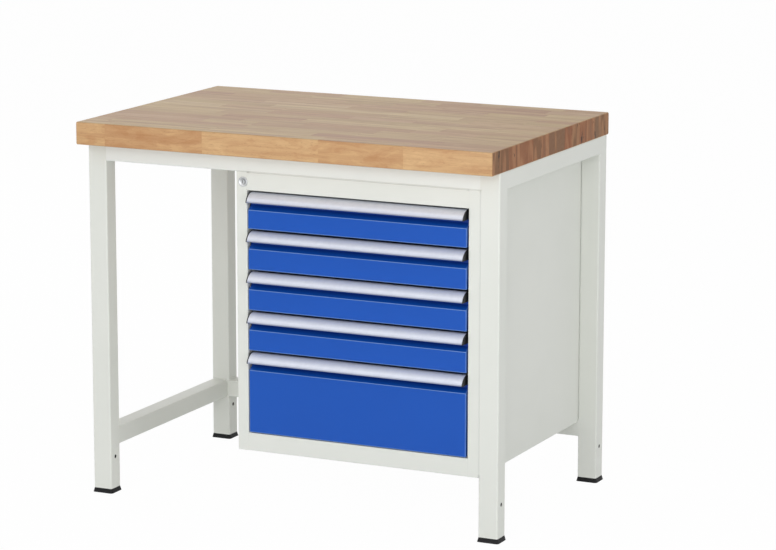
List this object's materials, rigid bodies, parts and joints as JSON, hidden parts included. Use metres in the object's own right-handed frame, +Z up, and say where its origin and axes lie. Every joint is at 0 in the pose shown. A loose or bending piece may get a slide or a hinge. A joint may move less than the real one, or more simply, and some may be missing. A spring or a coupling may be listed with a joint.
{
  "type": "workbench",
  "caption": "Steel-framed workbench with a thick beech top, open knee space and a hanging drawer cabinet with full-width handle hoods and a central cylinder lock.",
  "frame": {"origin": "on the floor, under the middle of the benchtop", "axes": "+X along the bench towards the drawer cabinet, +Y from front to back, +Z up"},
  "size_m": [1, 0.65, 0.85],
  "materials": {
    "frame_paint": "light grey powder coat, satin",
    "drawer_paint": "blue powder coat, satin",
    "tray_paint": "light grey powder coat, satin",
    "beech": "oiled, edge-glued staves",
    "foot_plastic": "black moulded plastic, fine grain",
    "cap_plastic": "black moulded plastic",
    "handle_aluminium": "natural anodised extrusion",
    "zinc_steel": "bright zinc plated",
    "lock_nickel": "nickel plated"
  },
  "bodies": {
    "frame": {"leg_front_left": "frame_paint", "leg_front_right": "frame_paint", "leg_rear_left": "frame_paint", "leg_rear_right": "frame_paint", "rail_front": "frame_paint", "rail_rear": "frame_paint", "rail_left": "frame_paint", "rail_right": "frame_paint", "stretcher_left": "frame_paint", "stretcher_rear": "frame_paint", "foot_caps": "foot_plastic", "benchtop": "beech", "benchtop_screws": "zinc_steel", "cabinet_side_left": "frame_paint", "cabinet_side_right": "frame_paint", "cabinet_fascia": "frame_paint", "cabinet_floor": "frame_paint", "cabinet_roof": "frame_paint", "cabinet_rear": "frame_paint", "cabinet_hangers": "frame_paint", "cabinet_bolts": "zinc_steel", "slide_posts": "frame_paint", "lock_housing": "lock_nickel", "drawer_1_slide_outer": "zinc_steel", "drawer_2_slide_outer": "zinc_steel", "drawer_3_slide_outer": "zinc_steel", "drawer_4_slide_outer": "zinc_steel", "drawer_5_slide_outer": "zinc_steel"},
    "lock_plug": {"lock_plug": "lock_nickel"},
    "locking_bar": {"locking_bar": "zinc_steel"},
    "drawer_1": {"drawer_1_front": "drawer_paint", "drawer_1_tray": "tray_paint", "drawer_1_handle": "handle_aluminium", "drawer_1_handle_caps": "cap_plastic", "drawer_1_slide_inner": "zinc_steel"},
    "drawer_1_slide": {"drawer_1_slide_middle": "zinc_steel"},
    "drawer_2": {"drawer_2_front": "drawer_paint", "drawer_2_tray": "tray_paint", "drawer_2_handle": "handle_aluminium", "drawer_2_handle_caps": "cap_plastic", "drawer_2_slide_inner": "zinc_steel"},
    "drawer_2_slide": {"drawer_2_slide_middle": "zinc_steel"},
    "drawer_3": {"drawer_3_front": "drawer_paint", "drawer_3_tray": "tray_paint", "drawer_3_handle": "handle_aluminium", "drawer_3_handle_caps": "cap_plastic", "drawer_3_slide_inner": "zinc_steel"},
    "drawer_3_slide": {"drawer_3_slide_middle": "zinc_steel"},
    "drawer_4": {"drawer_4_front": "drawer_paint", "drawer_4_tray": "tray_paint", "drawer_4_handle": "handle_aluminium", "drawer_4_handle_caps": "cap_plastic", "drawer_4_slide_inner": "zinc_steel"},
    "drawer_4_slide": {"drawer_4_slide_middle": "zinc_steel"},
    "drawer_5": {"drawer_5_front": "drawer_paint", "drawer_5_tray": "tray_paint", "drawer_5_handle": "handle_aluminium", "drawer_5_handle_caps": "cap_plastic", "drawer_5_slide_inner": "zinc_steel"},
    "drawer_5_slide": {"drawer_5_slide_middle": "zinc_steel"}
  },
  "joints": [
    {"name": "drawer_1_travel", "type": "slide", "parent": "frame", "child": "drawer_1", "axis": [0, -1, 0], "range_m": [0, 0.45]},
    {"name": "drawer_1_slide_travel", "type": "slide", "parent": "frame", "child": "drawer_1_slide", "axis": [0, -1, 0], "range_m": [0, 0.225]},
    {"name": "drawer_2_travel", "type": "slide", "parent": "frame", "child": "drawer_2", "axis": [0, -1, 0], "range_m": [0, 0.45]},
    {"name": "drawer_2_slide_travel", "type": "slide", "parent": "frame", "child": "drawer_2_slide", "axis": [0, -1, 0], "range_m": [0, 0.225]},
    {"name": "drawer_3_travel", "type": "slide", "parent": "frame", "child": "drawer_3", "axis": [0, -1, 0], "range_m": [0, 0.45]},
    {"name": "drawer_3_slide_travel", "type": "slide", "parent": "frame", "child": "drawer_3_slide", "axis": [0, -1, 0], "range_m": [0, 0.225]},
    {"name": "drawer_4_travel", "type": "slide", "parent": "frame", "child": "drawer_4", "axis": [0, -1, 0], "range_m": [0, 0.45]},
    {"name": "drawer_4_slide_travel", "type": "slide", "parent": "frame", "child": "drawer_4_slide", "axis": [0, -1, 0], "range_m": [0, 0.225]},
    {"name": "drawer_5_travel", "type": "slide", "parent": "frame", "child": "drawer_5", "axis": [0, -1, 0], "range_m": [0, 0.45]},
    {"name": "drawer_5_slide_travel", "type": "slide", "parent": "frame", "child": "drawer_5_slide", "axis": [0, -1, 0], "range_m": [0, 0.225]},
    {"name": "lock_turn", "type": "hinge", "parent": "frame", "child": "lock_plug", "pos_m": [-0.1096, -0.278, 0.7385], "axis": [0, 1, 0], "range_deg": [0, 90]},
    {"name": "locking_bar_lift", "type": "slide", "parent": "frame", "child": "locking_bar", "axis": [0, 0, 1], "range_m": [0, 0.01131]}
  ],
  "couplings": [
    {"joint": "drawer_1_slide_travel", "follows": "drawer_1_travel", "ratio": 0.5},
    {"joint": "drawer_2_slide_travel", "follows": "drawer_2_travel", "ratio": 0.5},
    {"joint": "drawer_3_slide_travel", "follows": "drawer_3_travel", "ratio": 0.5},
    {"joint": "drawer_4_slide_travel", "follows": "drawer_4_travel", "ratio": 0.5},
    {"joint": "drawer_5_slide_travel", "follows": "drawer_5_travel", "ratio": 0.5},
    {"joint": "lock_turn", "follows": "locking_bar_lift", "rad_per_m": 138.84}
  ]
}
